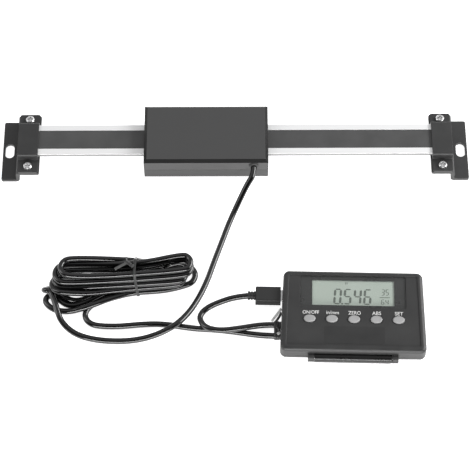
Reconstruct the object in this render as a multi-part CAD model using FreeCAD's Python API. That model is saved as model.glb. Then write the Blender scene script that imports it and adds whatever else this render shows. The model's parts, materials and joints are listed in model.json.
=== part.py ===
import FreeCAD, Part
import math
import os

# Digital linear scale: a beam on two end brackets, a sliding reading head and a corded display.
# Millimetres. Origin at the centre of the left mounting slot on the mounting plane,
# +X along the beam, +Y away from the display, +Z up.

V = FreeCAD.Vector

# End brackets
slot_spacing = 269.0
slot_width = 5.4
slot_length = 10.0
bracket_sheet = 2.0
bracket_depth = 40.4
foot_outer = 4.0
foot_inner = 5.0
leg_reach = 18.8
leg_top = 9.2
bend_inner = 0.5

# Beam and its measuring strip
beam_end_inset = 7.0
beam_width = 20.7
beam_height = 5.1
lip_thickness = 2.4
stem_width = 15.0
strip_width = 12.7
strip_thickness = 0.8

# Clamps over the beam's ends
clamp_sheet = 1.2
clamp_width = 12.0
clamp_start = 6.2
clamp_ear_span = 40.4
clamp_screw_spread = 32.5
clamp_screw_radius = 1.5
clamp_head_radius = 2.45
clamp_head_height = 1.5

# Reading head
head_offset = -17.1
head_length = 73.0
head_depth = 39.6
head_bottom = 4.0
head_parting = 12.0
head_top = 21.0
head_bevel = 1.7
head_wall = 2.0
head_floor = 2.5
beam_gap = 0.4
shoe_gap = 0.1
shoe_length = 60.0
shoe_web = 2.55
shoe_foot = 1.4
shoe_cap = 1.7
stem_gap = 0.3
strip_gap = 0.4
board_thickness = 1.2
sensor_gap = 0.25
tapped_spacing_x = 44.0
tapped_spacing_y = 28.0
tapped_radius = 1.25
tapped_depth = 6.0
grommet_along = 28.0
grommet_height = 16.2
grommet_neck = 2.3

# Display case
display_along = 66.1
display_y = -114.7
display_turn = -1.5
case_near_width = 81.9
case_far_width = 78.9
case_depth = 50.8
case_bottom = 4.0
case_parting = 7.4
case_top = 14.5
case_wall = 1.8
case_floor = 1.5
case_face = 1.2
case_corner = 3.5
rim_round = 2.4
panel_inset = 3.2
panel_drop = 0.4

# Window, glass, board and buttons
lens_side_margin = 9.65
lens_height = 20.6
lens_thickness = 0.8
lens_border_side = 5.4
lens_border_end = 1.0
glass_side_margin = 1.8
glass_overlap = 0.2
glass_thickness = 1.7
pcb_side_margin = 8.25
pcb_end_margin = 3.25
pcb_thickness = 1.0
pcb_bottom = 9.3
button_side_margin = 15.95
button_aside = 0.45
button_width = 6.6
button_height = 4.6
button_drop = 7.1
button_proud = 0.9
button_travel = 0.5
mat_margin = 2.0
mat_web = 0.4
mat_bump = 0.25

# Battery, door and stand
cell_radius = 10.0
cell_thickness = 3.2
cell_x = 14.0
cell_inset = 14.75
door_width = 21.6
door_tongue = 1.4
door_length = 26.0
door_gap = 0.2
stand_lip_width = 50.4
stand_ear = 3.4
stand_plate = 3.5
stand_length = 34.0
stand_bevel = 1.2
knuckle_radius = 2.65
knuckle_out = 0.9
knuckle_gap = 0.2
pin_radius = 0.9

# Cord and plug
cord_radius = 1.7
plug_inset = 13.8
plug_z = 7.95
plug_length = 14.3
plug_width = 9.8
plug_height = 6.2
plug_standoff = 1.0
relief_length = 4.4
relief_radius = 2.5

mid_x = slot_spacing / 2
head_x = mid_x + head_offset
beam_length = slot_spacing - 2 * beam_end_inset
beam_top = leg_top + beam_height
display_x = mid_x + display_along
lens_width = case_far_width - 2 * lens_side_margin
lens_y = case_depth / 2 - panel_inset - lens_height / 2
view_width = lens_width - 2 * lens_border_side
view_height = lens_height - 2 * lens_border_end
glass_width = lens_width - 2 * glass_side_margin
glass_height = lens_height + 2 * glass_overlap
pcb_width = case_far_width - 2 * pcb_side_margin
pcb_height = case_depth - 2 * pcb_end_margin
button_pitch = (case_near_width - 2 * button_side_margin) / 4
button_y = lens_y - lens_height / 2 - button_drop
cell_y = case_depth / 2 - cell_inset
plug_y = case_depth / 2 - plug_inset
saved = []


def box(x0, x1, y0, y1, z0, z1):
    """Block between two corners."""
    return Part.makeBox(x1 - x0, y1 - y0, z1 - z0, V(x0, y0, z0))


def rod(radius, start, end):
    """Cylinder from one point to another."""
    way = end - start
    return Part.makeCylinder(radius, way.Length, start, way)


def upright(radius, x, y, z0, z1):
    """Vertical cylinder between two heights."""
    return rod(radius, V(x, y, z0), V(x, y, z1))


def across(radius, x0, x1, y, z):
    """Cylinder along X."""
    return rod(radius, V(x0, y, z), V(x1, y, z))


def outline(points, radii):
    """Closed wire through corners, each rounded by its own radius."""
    edges = []
    stops = []
    count = len(points)
    for i in range(count):
        here = points[i]
        radius = radii[i]
        if radius <= 0:
            stops.append((here, here))
            continue
        into = (points[i - 1] - here).normalize()
        out = (points[(i + 1) % count] - here).normalize()
        half = into.getAngle(out) / 2
        reach = radius / math.tan(half)
        first = here + into * reach
        last = here + out * reach
        middle_way = (into + out).normalize()
        middle = here + middle_way * (radius / math.sin(half) - radius)
        edges.append((i, Part.Arc(first, middle, last).toShape()))
        stops.append((first, last))
    arcs = dict(edges)
    ordered = []
    for i in range(count):
        if i in arcs:
            ordered.append(arcs[i])
        start = stops[i][1]
        end = stops[(i + 1) % count][0]
        if (end - start).Length > 1e-6:
            ordered.append(Part.LineSegment(start, end).toShape())
    return Part.Wire(ordered)


def prism(points, radii, sweep):
    """Solid swept straight from a rounded outline."""
    return Part.Face(outline(points, radii)).extrude(sweep)


def plan_block(width, depth, x, y, z0, z1, corner):
    """Block with rounded upright corners, centred on x, y."""
    points = [
        V(x - width / 2, y - depth / 2, z0),
        V(x + width / 2, y - depth / 2, z0),
        V(x + width / 2, y + depth / 2, z0),
        V(x - width / 2, y + depth / 2, z0),
    ]
    return prism(points, [corner] * 4, V(0, 0, z1 - z0))


def oval(width, height, x, y, z0, z1):
    """Upright block with an elliptical plan."""
    rim = Part.Ellipse(V(x, y, z0), width / 2, height / 2).toShape()
    return Part.Face(Part.Wire(rim)).extrude(V(0, 0, z1 - z0))


def edges_where(shape, test):
    """Edges whose two ends and middle all pass a test."""
    chosen = []
    for edge in shape.Edges:
        middle = edge.valueAt((edge.FirstParameter + edge.LastParameter) / 2)
        spots = [vertex.Point for vertex in edge.Vertexes] + [middle]
        if all(test(spot) for spot in spots):
            chosen.append(edge)
    return chosen


def at_height(z):
    """Test for points at one height."""
    return lambda spot: abs(spot.z - z) < 1e-4


def both_ends(shape):
    """The other end's copy of a piece, mirrored about the beam's middle."""
    return shape.mirror(V(mid_x, 0, 0), V(1, 0, 0))


def save(name, shape):
    """Write one piece."""
    shape = shape.removeSplitter()
    if not shape.isValid():
        print("not valid:", name)
    shape.exportStep("parts/" + name + ".step")
    saved.append(name)


def save_group(name, shapes):
    """Write several equal pieces as one group."""
    group = Part.makeCompound(shapes)
    if not group.isValid():
        print("not valid:", name)
    group.exportStep("parts/" + name + ".step")
    saved.append(name)


def cross_screw(x, y, seat, head_radius, head_height, radius, length, up):
    """Pan-head screw whose head stands on the seat; up is 1 with the head on top, -1 below."""
    head = upright(head_radius, x, y, seat, seat + up * head_height)
    crown = edges_where(head, at_height(seat + up * head_height))
    head = head.makeChamfer(head_height * 0.35, crown)
    shank = upright(radius, x, y, seat, seat - up * length)
    screw = head.fuse(shank)
    top = seat + up * head_height
    low = min(top, top - up * head_height * 0.5)
    high = max(top, top - up * head_height * 0.5)
    long_half = head_radius * 0.6
    thin_half = head_radius * 0.16
    screw = screw.cut(box(x - long_half, x + long_half, y - thin_half, y + thin_half, low, high))
    return screw.cut(box(x - thin_half, x + thin_half, y - long_half, y + long_half, low, high))


# Beam and strip

def build_beam():
    half = beam_width / 2
    stem = stem_width / 2
    lip = beam_top - lip_thickness
    x0 = mid_x - beam_length / 2
    section = [
        V(x0, -stem, leg_top),
        V(x0, stem, leg_top),
        V(x0, stem, lip),
        V(x0, half, lip),
        V(x0, half, beam_top),
        V(x0, strip_width / 2, beam_top),
        V(x0, strip_width / 2, beam_top - strip_thickness),
        V(x0, -strip_width / 2, beam_top - strip_thickness),
        V(x0, -strip_width / 2, beam_top),
        V(x0, -half, beam_top),
        V(x0, -half, lip),
        V(x0, -stem, lip),
    ]
    rounds = [0.3, 0.3, 0.3, 0.4, 0.4, 0, 0, 0, 0, 0.4, 0.4, 0.3]
    save("beam", prism(section, rounds, V(beam_length, 0, 0)))
    strip = box(
        x0, x0 + beam_length, -strip_width / 2, strip_width / 2, beam_top - strip_thickness, beam_top - 0.05
    )
    save("scale_strip", strip)


# End brackets and clamps

def build_ends():
    t = bracket_sheet
    bend = bend_inner + t
    y0 = -bracket_depth / 2
    section = [
        V(-foot_outer, y0, 0),
        V(foot_inner + t, y0, 0),
        V(foot_inner + t, y0, leg_top - t),
        V(leg_reach, y0, leg_top - t),
        V(leg_reach, y0, leg_top),
        V(foot_inner, y0, leg_top),
        V(foot_inner, y0, t),
        V(-foot_outer, y0, t),
    ]
    bracket = prism(section, [0, bend, bend_inner, 0, 0, bend, bend_inner, 0], V(0, bracket_depth, 0))
    sides = edges_where(bracket, lambda p: abs(abs(p.y) - bracket_depth / 2) < 1e-4)
    corners = [edge for edge in sides if edge.BoundBox.XMax < -foot_outer + 1e-4]
    corners += [edge for edge in sides if edge.BoundBox.XMin > leg_reach - 1e-4]
    bracket = bracket.makeFillet(1.0, corners)
    slot = plan_block(slot_width, slot_length, 0, 0, -1, t + 1, slot_width / 2 - 1e-4)
    bracket = bracket.cut(slot)
    screw_x = clamp_start + clamp_width / 2
    for side in (-1, 1):
        y = side * clamp_screw_spread / 2
        bracket = bracket.cut(upright(clamp_screw_radius, screw_x, y, leg_top - t - 1, leg_top + 1))
    save("left_bracket", bracket)
    save("right_bracket", both_ends(bracket))

    inner = beam_width / 2 + shoe_gap
    outer = inner + clamp_sheet
    ear = clamp_ear_span / 2
    ear_top = leg_top + clamp_sheet
    crown = beam_top + clamp_sheet
    x0 = clamp_start
    section = [
        V(x0, -ear, leg_top),
        V(x0, -inner, leg_top),
        V(x0, -inner, beam_top),
        V(x0, inner, beam_top),
        V(x0, inner, leg_top),
        V(x0, ear, leg_top),
        V(x0, ear, ear_top),
        V(x0, outer, ear_top),
        V(x0, outer, crown),
        V(x0, -outer, crown),
        V(x0, -outer, ear_top),
        V(x0, -ear, ear_top),
    ]
    bend = 0.3 + clamp_sheet
    rounds = [0, bend, 0.3, 0.3, bend, 0, 0, 0.3, bend, bend, 0.3, 0]
    clamp = prism(section, rounds, V(clamp_width, 0, 0))
    corners = edges_where(clamp, lambda p: abs(abs(p.y) - ear) < 1e-4 and abs(p.x - x0) < 1e-4)
    corners += edges_where(clamp, lambda p: abs(abs(p.y) - ear) < 1e-4 and abs(p.x - x0 - clamp_width) < 1e-4)
    clamp = clamp.makeFillet(1.2, corners)
    screws = []
    for side in (-1, 1):
        y = side * clamp_screw_spread / 2
        clamp = clamp.cut(upright(clamp_screw_radius + 0.15, screw_x, y, leg_top - 1, ear_top + 1))
        length = clamp_sheet + bracket_sheet + 0.8
        head = (clamp_head_radius, clamp_head_height)
        screws.append(cross_screw(screw_x, y, ear_top, *head, clamp_screw_radius, length, 1))
    save("left_clamp", clamp)
    save("right_clamp", both_ends(clamp))
    save_group("left_clamp_screws", screws)
    save_group("right_clamp_screws", [both_ends(screw) for screw in screws])


# Reading head

def build_head():
    half_x = head_length / 2
    half_y = head_depth / 2
    x0 = head_x - half_x
    x1 = head_x + half_x
    wall_y = half_y - head_wall
    floor_top = head_bottom + head_floor
    lip = beam_top - lip_thickness
    beam_half = beam_width / 2
    pass_half = beam_half + beam_gap
    web_in = beam_half + shoe_gap
    web_out = web_in + shoe_web
    shoe_low = lip - shoe_gap - shoe_foot
    shoe_top = beam_top + shoe_cap
    shoe_half = shoe_length / 2
    board_low = shoe_top
    board_top = board_low + board_thickness
    ceiling = head_top - head_wall
    boss_x = half_x - head_wall - 1.05
    boss_y = half_y - head_wall - 2.0
    boss_radius = 2.2
    screw_radius = 1.0
    sink = 2.6

    base = box(x0, x1, -half_y, half_y, head_bottom, head_parting)
    base = base.makeChamfer(0.5, edges_where(base, at_height(head_bottom)))
    base = base.makeChamfer(0.3, edges_where(base, at_height(head_parting)))
    base = base.cut(box(x0 - 1, x1 + 1, -pass_half, pass_half, leg_top - beam_gap, head_parting + 1))
    stem_half = stem_width / 2 + 0.7
    base = base.cut(box(x0 + head_wall, x1 - head_wall, -stem_half, stem_half, floor_top, head_parting + 1))
    pocket = box(head_x - shoe_half, head_x + shoe_half, -web_out, web_out, shoe_low, head_parting + 1)
    base = base.cut(pocket)
    spring_x0 = head_x - shoe_half + 2 * head_wall
    spring_x1 = head_x + shoe_half - 4 * head_wall
    spring_low = shoe_low + 0.2
    spring_high = shoe_low + 2.6
    base = base.cut(box(spring_x0 - 1, spring_x1 + 1, -wall_y, -web_out, spring_low, head_parting + 1))
    screws = []
    for sx in (-1, 1):
        for sy in (-1, 1):
            x = head_x + sx * boss_x
            y = sy * boss_y
            base = base.cut(upright(2.0, x, y, head_bottom - 1, head_bottom + sink))
            base = base.cut(upright(screw_radius + 0.1, x, y, head_bottom, head_parting + 1))
            seat = head_bottom + sink
            reach = ceiling - 1.0 - seat
            screws.append(cross_screw(x, y, seat, 1.8, 1.5, screw_radius, reach, -1))
            x = head_x + sx * tapped_spacing_x / 2
            y = sy * tapped_spacing_y / 2
            base = base.cut(upright(tapped_radius, x, y, head_bottom - 1, head_bottom + tapped_depth))
    save("head_base", base)
    save_group("head_screws", screws)

    cover = box(x0, x1, -half_y, half_y, head_parting, head_top)
    cover = cover.makeChamfer(head_bevel, edges_where(cover, at_height(head_top)))
    hollow = box(x0 + head_wall, x1 - head_wall, -wall_y, wall_y, head_parting - 1, ceiling)
    cover = cover.cut(hollow)
    cover = cover.cut(box(x0 - 1, x1 + 1, -pass_half, pass_half, head_parting - 1, beam_top + beam_gap))
    for sx in (-1, 1):
        for sy in (-1, 1):
            x = head_x + sx * boss_x
            y = sy * boss_y
            boss = upright(boss_radius, x, y, head_parting, ceiling)
            boss = boss.common(box(x0 + 0.5, x1 - 0.5, -half_y + 0.5, half_y - 0.5, head_parting, ceiling))
            cover = cover.fuse(boss)
    rib_half = head_wall * 0.3
    for sx in (-1, 1):
        x = head_x + sx * shoe_half * 0.66
        cover = cover.fuse(box(x - rib_half, x + rib_half, -beam_half, beam_half, board_top, ceiling))
    for sx in (-1, 1):
        for sy in (-1, 1):
            x = head_x + sx * boss_x
            y = sy * boss_y
            cover = cover.cut(upright(screw_radius, x, y, head_parting - 1, ceiling - 0.8))
    grommet_x = head_x + grommet_along
    outside = V(grommet_x, -half_y - 1, grommet_height)
    inside = V(grommet_x, -wall_y + 1, grommet_height)
    cover = cover.cut(rod(grommet_neck, outside, inside))
    save("head_cover", cover)

    flange = grommet_neck + 0.5
    flange_out = half_y + 0.9
    flange_in = wall_y - 0.8
    grommet = rod(grommet_neck, V(grommet_x, -half_y, grommet_height), V(grommet_x, -wall_y, grommet_height))
    collar = rod(flange, V(grommet_x, -flange_out, grommet_height), V(grommet_x, -half_y, grommet_height))
    collar = collar.makeChamfer(0.4, edges_where(collar, lambda p: abs(p.y + flange_out) < 1e-4))
    grommet = grommet.fuse(collar)
    inner = rod(flange - 0.2, V(grommet_x, -wall_y, grommet_height), V(grommet_x, -flange_in, grommet_height))
    save("cable_grommet", grommet.fuse(inner))

    shoe_section = [
        V(head_x - shoe_half, stem_width / 2 + stem_gap, shoe_low),
        V(head_x - shoe_half, web_out, shoe_low),
        V(head_x - shoe_half, web_out, shoe_top),
        V(head_x - shoe_half, strip_width / 2 + strip_gap, shoe_top),
        V(head_x - shoe_half, strip_width / 2 + strip_gap, beam_top + shoe_gap),
        V(head_x - shoe_half, web_in, beam_top + shoe_gap),
        V(head_x - shoe_half, web_in, lip - shoe_gap),
        V(head_x - shoe_half, stem_width / 2 + stem_gap, lip - shoe_gap),
    ]
    shoe = prism(shoe_section, [0] * 8, V(shoe_length, 0, 0))
    save("rear_guide_shoe", shoe)
    save("front_guide_shoe", shoe.mirror(V(0, 0, 0), V(0, 1, 0)))

    leaf = 0.4
    middle_x = (spring_x0 + spring_x1) / 2
    left_out = V(spring_x0, -wall_y, spring_low)
    left_in = left_out + V(0, leaf, 0)
    right_out = V(spring_x1, -wall_y, spring_low)
    right_in = right_out + V(0, leaf, 0)
    bow_out = V(middle_x, -web_out - leaf, spring_low)
    bow_in = bow_out + V(0, leaf, 0)
    edges = [
        Part.LineSegment(left_out, left_in).toShape(),
        Part.Arc(left_in, bow_in, right_in).toShape(),
        Part.LineSegment(right_in, right_out).toShape(),
        Part.Arc(right_out, bow_out, left_out).toShape(),
    ]
    ring = Part.Wire(edges)
    save("gib_spring", Part.Face(ring).extrude(V(0, 0, spring_high - spring_low)))

    sensor_half = strip_width / 2 + strip_gap
    plate_half = shoe_half - 2 * head_wall
    plate_low = beam_top + sensor_gap
    plate_x0 = head_x - plate_half
    plate_x1 = head_x + plate_half
    save("sensor_plate", box(plate_x0, plate_x1, -sensor_half, sensor_half, plate_low, board_low))
    board_half_x = boss_x - boss_radius - 0.4
    board_half_y = wall_y - 1.0
    board_x0 = head_x - board_half_x
    board_x1 = head_x + board_half_x
    save("head_board", box(board_x0, board_x1, -board_half_y, board_half_y, board_low, board_top))
    chip = board_half_y * 0.75
    chip_x = head_x - chip * 0.6
    small = chip / 3
    small_x = head_x + chip * 0.8
    chip_top = (board_top + ceiling) / 2
    chips = []
    chips.append(box(chip_x, chip_x + chip, -chip / 2, chip / 2, board_top, chip_top))
    chips.append(box(small_x, small_x + small, -small * 1.5, -small * 0.5, board_top, chip_top))
    chips.append(upright(small * 0.4, chip_x - small, -small, board_top, chip_top))
    save_group("board_chips", chips)
    plug_in_x = grommet_x - 2.9
    plug_in_low = board_low - 2.4
    save("head_connector", box(plug_in_x, plug_in_x + 4, -flange_in, -web_out - 0.3, plug_in_low, board_low))


# Display

def placed(shape):
    """Move a piece from the display's own axes to where the display lies."""
    shape = shape.copy()
    shape.rotate(V(0, 0, 0), V(0, 0, 1), display_turn)
    shape.translate(V(display_x, display_y, 0))
    return shape


def case_half_width(y, inset):
    """Half width of the tapered case at one depth."""
    middle = (case_near_width + case_far_width) / 4
    taper = (case_near_width - case_far_width) / 2 / case_depth
    return middle - taper * y - inset


def case_block(inset, z0, z1, corner):
    """Block with the case's tapered plan, drawn in by the inset."""
    far = case_depth / 2 - inset
    points = [
        V(-case_half_width(-far, inset), -far, z0),
        V(case_half_width(-far, inset), -far, z0),
        V(case_half_width(far, inset), far, z0),
        V(-case_half_width(far, inset), far, z0),
    ]
    return prism(points, [corner] * 4, V(0, 0, z1 - z0))


def boss_places():
    """Where the case's screws stand."""
    places = []
    for side_y in (-1, 1):
        y = side_y * (case_depth / 2 - 4.4)
        x = case_half_width(y, 0) - 4.4
        places.append((-x, y))
        places.append((x, y))
    return places


def button_places():
    """Middles of the five buttons."""
    return [(button_aside + (i - 2) * button_pitch, button_y) for i in range(5)]


def build_display():
    panel = case_top - panel_drop
    face_low = panel - case_face
    pcb_top = pcb_bottom + pcb_thickness
    floor_top = case_bottom + case_floor
    wall_x = case_half_width(plug_y, 0)
    socket_half = 3.8
    mouth = box(-wall_x - 2, -wall_x + 4, plug_y - 4.1, plug_y + 4.1, plug_z - 1.6, pcb_bottom + 0.15)
    inner_corner = case_corner - case_wall

    front = case_block(0, case_parting, case_top, case_corner)
    front = front.makeFillet(rim_round, edges_where(front, at_height(case_top)))
    front = front.cut(case_block(panel_inset, panel, case_top + 1, 1.2))
    front = front.cut(case_block(case_wall, case_parting - 1, face_low, inner_corner))
    front = front.cut(plan_block(lens_width, lens_height, 0, lens_y, panel - lens_thickness, case_top, 0.8))
    front = front.cut(plan_block(view_width, view_height, 0, lens_y, face_low - 1, case_top, 0.5))
    for x, y in button_places():
        front = front.cut(oval(button_width + 0.5, button_height + 0.5, x, y, face_low - 1, case_top))
    for x, y in boss_places():
        front = front.fuse(upright(2.3, x, y, case_parting, face_low + 0.2))
    for x, y in boss_places():
        front = front.cut(upright(1.0, x, y, case_parting - 1, face_low - 0.6))
    front = front.cut(mouth)

    back = case_block(0, case_bottom, case_parting, case_corner)
    back = back.makeChamfer(0.3, edges_where(back, at_height(case_parting)))
    back = back.makeFillet(1.2, edges_where(back, at_height(case_bottom)))
    back = back.cut(case_block(case_wall, floor_top, case_parting + 1, inner_corner))
    post_x = pcb_width / 2 - 2.0
    post_y = pcb_height / 2 - 3.0
    for sx in (-1, 1):
        for sy in (-1, 1):
            back = back.fuse(upright(1.6, sx * post_x, sy * post_y, case_bottom + 0.5, pcb_bottom))
    for x, y in boss_places():
        back = back.fuse(upright(2.3, x, y, floor_top - 0.2, case_parting))
    screws = []
    for x, y in boss_places():
        seat = case_bottom + 1.6
        back = back.cut(upright(2.0, x, y, case_bottom - 1, seat))
        back = back.cut(upright(1.1, x, y, case_bottom, case_parting + 1))
        screws.append(placed(cross_screw(x, y, seat, 1.8, 1.3, 1.0, face_low - 0.8 - seat, -1)))
    back = back.cut(mouth)
    save_group("case_screws", screws)

    door_low = case_bottom + 0.75
    far_y = case_depth / 2
    door_y0 = far_y - door_length
    door_half = door_width / 2
    wide_half = door_half + door_tongue
    way_y0 = door_y0 - door_gap
    way_half = door_half + door_gap
    back = back.cut(box(cell_x - way_half, cell_x + way_half, way_y0, far_y + 1, case_bottom - 1, door_low))
    way_half = wide_half + door_gap
    way_low = door_low - 0.05
    way_top = floor_top + 0.1
    back = back.cut(box(cell_x - way_half, cell_x + way_half, way_y0, far_y + 1, way_low, way_top))
    door = box(cell_x - door_half, cell_x + door_half, door_y0, far_y - 0.1, case_bottom, door_low + 0.1)
    door = door.fuse(box(cell_x - wide_half, cell_x + wide_half, door_y0, far_y - 0.1, door_low, floor_top))
    for i in range(3):
        y = far_y - 4 - i * 1.6
        door = door.cut(box(cell_x - 6, cell_x + 6, y - 0.4, y + 0.4, case_bottom - 1, case_bottom + 0.3))
    save("battery_door", placed(door))

    near_y = -case_depth / 2
    pin_y = near_y - knuckle_out
    lip_half = stand_lip_width / 2
    ear_in = lip_half - stand_ear
    knuckle_half = ear_in - knuckle_gap
    trough = knuckle_radius + knuckle_gap
    trough_back = pin_y + trough
    dam_half = ear_in + case_wall
    dam_back = trough_back + case_wall
    dam_front = near_y + case_wall / 2
    dam_top = pcb_bottom - 0.1
    front = front.fuse(box(-dam_half, dam_half, dam_front, dam_back, case_parting, dam_top))
    back = back.fuse(box(-dam_half, dam_half, dam_front, dam_back, case_bottom + 1, case_parting))
    above = box(-lip_half - 1, lip_half + 1, pin_y - 5, pin_y + 5, case_parting, case_top)
    for side in (-1, 1):
        ear = across(knuckle_radius, side * ear_in, side * lip_half, pin_y, case_parting)
        front = front.fuse(ear.common(above))
        back = back.fuse(ear.cut(above))
    hollow = across(trough, -ear_in, ear_in, pin_y, case_parting)
    pin_half = lip_half - 0.3
    pin = across(pin_radius, -pin_half, pin_half, pin_y, case_parting)
    front = front.cut(hollow).cut(pin)
    back = back.cut(hollow).cut(pin)
    save("display_front_cover", placed(front))
    save("display_back_cover", placed(back))
    save("stand_hinge_pin", placed(pin))

    stand = across(knuckle_radius, -knuckle_half, knuckle_half, pin_y, case_parting)
    web_back = near_y - 0.25
    stand = stand.fuse(box(-knuckle_half, knuckle_half, pin_y - 0.6, web_back, stand_plate - 0.5, case_parting - 1.8))
    plate_front = pin_y - 0.1
    plate = plan_block(2 * knuckle_half, stand_length, 0, plate_front + stand_length / 2, 0, stand_plate, 0.8)
    window_y = plate_front + stand_length * 0.55
    plate = plate.cut(plan_block(knuckle_half, stand_length / 2, 0, window_y, -1, stand_plate + 1, 2.0))
    bevel = [
        V(-lip_half, plate_front - 1, -1),
        V(-lip_half, plate_front + stand_bevel + 1, -1),
        V(-lip_half, plate_front - 1, stand_bevel + 1),
    ]
    plate = plate.cut(prism(bevel, [0, 0, 0], V(2 * lip_half, 0, 0)))
    stand = stand.fuse(plate)
    stand = stand.cut(across(pin_radius + 0.06, -lip_half, lip_half, pin_y, case_parting))
    save("tilt_stand", placed(stand))

    lens = plan_block(lens_width - 0.2, lens_height - 0.2, 0, lens_y, panel - lens_thickness, panel, 0.7)
    save("display_lens", placed(lens))
    glass_top = face_low - 0.1
    glass_low = glass_top - glass_thickness
    save("lcd_panel", placed(plan_block(glass_width, glass_height, 0, lens_y, glass_low, glass_top, 0.2)))
    strips = []
    for side in (-1, 1):
        y = lens_y + side * (glass_height / 2 - 1.2)
        half = glass_width / 2 - 3
        strips.append(placed(box(-half, half, y - 0.8, y + 0.8, pcb_top, glass_low)))
    save_group("lcd_connector_strips", strips)

    board = plan_block(pcb_width, pcb_height, 0, 0, pcb_bottom, pcb_top, 1.0)
    tongue_x = wall_x - case_wall - 0.3
    board = board.fuse(box(-tongue_x, -pcb_width / 2 + 1, plug_y - 5.5, plug_y + 4.6, pcb_bottom, pcb_top))
    save("display_board", placed(board))

    mat_top = pcb_top + mat_web
    bump_top = mat_top + mat_bump
    mat_width = 4 * button_pitch + button_width + mat_margin
    mat_height = button_height + 2 * mat_margin
    mat = plan_block(mat_width, mat_height, button_aside, button_y, pcb_top, mat_top, 1.0)
    names = ["button_on_off", "button_unit", "button_zero", "button_abs", "button_set"]
    flange_top = face_low - 0.1
    flange_low = flange_top - 0.7
    stem_low = bump_top + button_travel + 0.05
    for (x, y), name in zip(button_places(), names):
        mat = mat.fuse(upright(2.0, x, y, pcb_top + 0.1, bump_top))
        cap = oval(button_width, button_height, x, y, flange_low + 0.1, panel + button_proud)
        cap = cap.makeFillet(0.6, edges_where(cap, at_height(panel + button_proud)))
        cap = cap.fuse(oval(button_width + 1.8, button_height + 1.8, x, y, flange_low, flange_top))
        cap = cap.fuse(upright(1.6, x, y, stem_low, flange_low + 0.1))
        save(name, placed(cap))
    save("keypad_mat", placed(mat))

    socket_x0 = -wall_x + 0.9
    socket_low = plug_z - 1.35
    socket_x1 = socket_x0 + 5.6
    socket = box(socket_x0, socket_x1, plug_y - socket_half, plug_y + socket_half, socket_low, pcb_bottom)
    bay = box(socket_x0 - 1, socket_x0 + 4.6, plug_y - 3.45, plug_y + 3.45, plug_z - 0.95, plug_z + 0.95)
    save("usb_socket", placed(socket.cut(bay)))

    cell_low = floor_top + 0.1
    cell_top = cell_low + cell_thickness
    cell = upright(cell_radius, cell_x, cell_y, cell_low, cell_top)
    cell = cell.makeChamfer(0.4, edges_where(cell, at_height(cell_low)))
    save("battery", placed(cell))
    save("battery_clip", placed(box(cell_x - 4, cell_x + 4, cell_y - 8, cell_y + 8, cell_top, pcb_bottom)))
    ring_low = cell_low + 0.7
    holder = upright(cell_radius + 1.5, cell_x, cell_y, ring_low, pcb_bottom)
    holder = holder.cut(upright(cell_radius + 0.1, cell_x, cell_y, ring_low - 1, pcb_bottom + 1))
    save("battery_holder", placed(holder))

    plug_x1 = -wall_x - plug_standoff
    plug_x0 = plug_x1 - plug_length
    shell = box(plug_x1, socket_x0 + 3.6, plug_y - 3.4, plug_y + 3.4, plug_z - 0.9, plug_z + 0.9)
    save("plug_shell", placed(shell))
    half_w = plug_width / 2
    half_h = plug_height / 2
    section = [
        V(plug_x0, plug_y - half_w, plug_z - half_h),
        V(plug_x0, plug_y + half_w, plug_z - half_h),
        V(plug_x0, plug_y + half_w, plug_z + half_h),
        V(plug_x0, plug_y - half_w, plug_z + half_h),
    ]
    moulding = prism(section, [1.4] * 4, V(plug_length, 0, 0))
    moulding = moulding.makeFillet(0.5, edges_where(moulding, lambda p: abs(p.x - plug_x0) < 1e-4))
    save("plug_overmould", placed(moulding))
    relief_x = plug_x0 - relief_length
    relief = across(relief_radius, relief_x, plug_x0, plug_y, plug_z)
    for i in range(2):
        x = relief_x + 1.3 + i * 1.5
        groove = across(relief_radius + 1, x, x + 0.6, plug_y, plug_z)
        groove = groove.cut(across(relief_radius - 0.4, x - 1, x + 2, plug_y, plug_z))
        relief = relief.cut(groove)
    save("plug_strain_relief", placed(relief))
    turn = math.radians(display_turn)
    end_x = display_x + relief_x * math.cos(turn) - plug_y * math.sin(turn)
    end_y = display_y + relief_x * math.sin(turn) + plug_y * math.cos(turn)
    return V(end_x, end_y, plug_z)


# Cord

def route(points):
    """Straight runs joined by arcs as large as the runs allow."""
    edges = []
    here = points[0]
    radii = []
    for i in range(1, len(points) - 1):
        into = points[i] - points[i - 1]
        out = points[i + 1] - points[i]
        reach = 0.45 * min(into.Length, out.Length)
        turn = into.getAngle(out)
        radius = reach / math.tan(turn / 2)
        radii.append(round(radius, 1))
        a = V(into).normalize()
        b = V(out).normalize()
        first = points[i] - a * reach
        last = points[i] + b * reach
        inward = (b - a).normalize()
        middle = points[i] + inward * (radius / math.cos(turn / 2) - radius)
        edges.append(Part.LineSegment(here, first).toShape())
        edges.append(Part.Arc(first, middle, last).toShape())
        here = last
    edges.append(Part.LineSegment(here, points[-1]).toShape())
    print("bend radii", radii)
    return Part.Wire(edges)


def tube(name, points):
    """One cord lead."""
    wire = route(points)
    way = points[1] - points[0]
    profile = Part.Wire(Part.Circle(points[0], way, cord_radius).toShape())
    solid = wire.makePipeShell([profile], True, False)
    section = math.pi * cord_radius * cord_radius
    ratio = solid.Volume / section / wire.Length
    print(name, "length", round(wire.Length, 1), "volume ratio", round(ratio, 4))
    save(name, solid)


def hank_wire(left, right, radius, z):
    """Long oval outline at one height."""
    way = V(right.x - left.x, right.y - left.y, 0).normalize()
    side = V(-way.y, way.x, 0)
    a = V(left.x, left.y, z)
    b = V(right.x, right.y, z)
    edges = [
        Part.LineSegment(a - side * radius, b - side * radius).toShape(),
        Part.Arc(b - side * radius, b + way * radius, b + side * radius).toShape(),
        Part.LineSegment(b + side * radius, a + side * radius).toShape(),
        Part.Arc(a + side * radius, a - way * radius, a - side * radius).toShape(),
    ]
    return Part.Wire(edges)


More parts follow.
